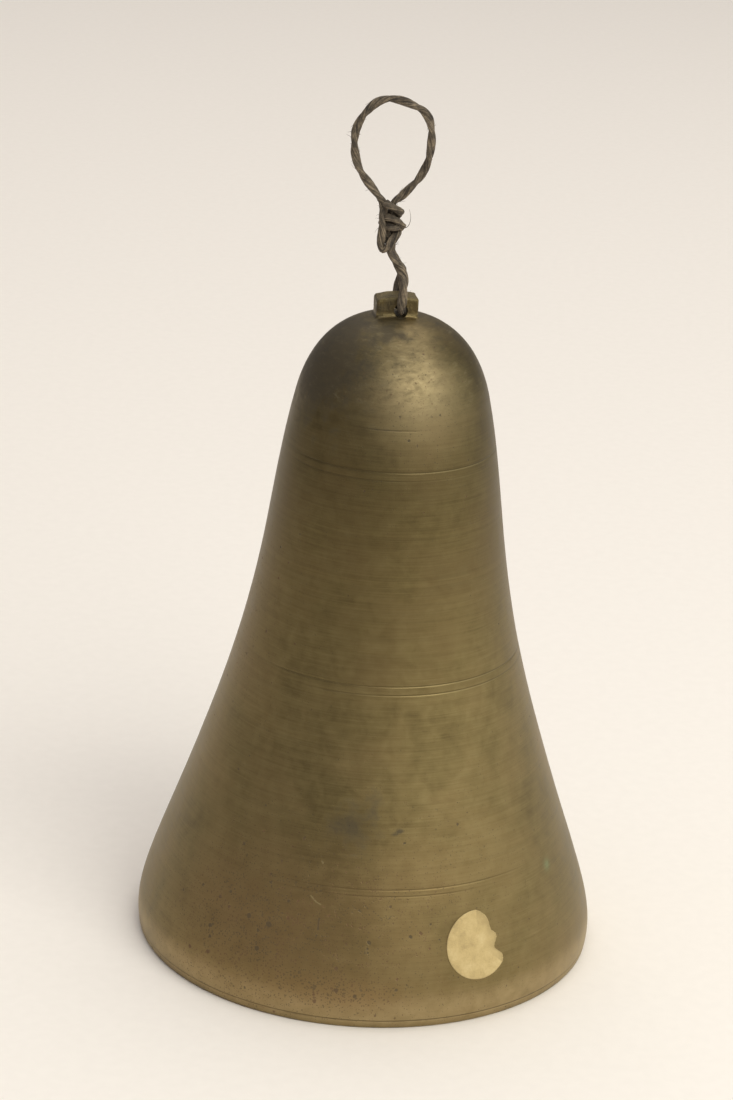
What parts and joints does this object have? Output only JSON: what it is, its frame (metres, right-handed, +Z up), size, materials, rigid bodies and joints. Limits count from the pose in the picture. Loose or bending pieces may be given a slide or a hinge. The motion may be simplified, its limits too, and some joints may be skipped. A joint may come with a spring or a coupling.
{
  "type": "bell",
  "caption": "Small flared cast bell with a domed crown and drilled lug, standing on its lip, with an inner iron clapper and a stiff twine hanging loop.",
  "frame": {"origin": "on the bell's axis, in the plane of the lip it stands on", "axes": "+Z up along the bell's axis from lip to crown; -Y is the front, from which the hole in the lug is seen; +X is to the right of someone facing the front"},
  "size_m": [0.0858, 0.0858, 0.1604],
  "materials": {
    "bell_metal": "aged",
    "staple_iron": "rusty",
    "clapper_iron": "forged",
    "twine": "waxed",
    "label_paper": "matte"
  },
  "bodies": {
    "bell": {"bell_shell": "bell_metal", "crown_staple": "staple_iron", "paper_label": "label_paper"},
    "link": {"clapper_link": "staple_iron"},
    "clapper": {"clapper_rod": "clapper_iron", "clapper_ball": "clapper_iron"},
    "twine": {"twine_bight": "twine", "twine_knot": "twine", "twine_loop": "twine"}
  },
  "joints": [
    {"name": "link_swing", "type": "hinge", "parent": "bell", "child": "link", "pos_m": [0, 0, 0.112], "axis": [1, 0, 0], "range_deg": [-4, 4]},
    {"name": "clapper_swing", "type": "hinge", "parent": "link", "child": "clapper", "pos_m": [0, 0, 0.1069], "axis": [0, 1, 0], "range_deg": [-15.8, 15.8]},
    {"name": "twine_tilt", "type": "hinge", "parent": "bell", "child": "twine", "pos_m": [0.00023, 0.00009, 0.122], "axis": [-0.1564, 0.9877, 0], "range_deg": [-85, 85]}
  ]
}
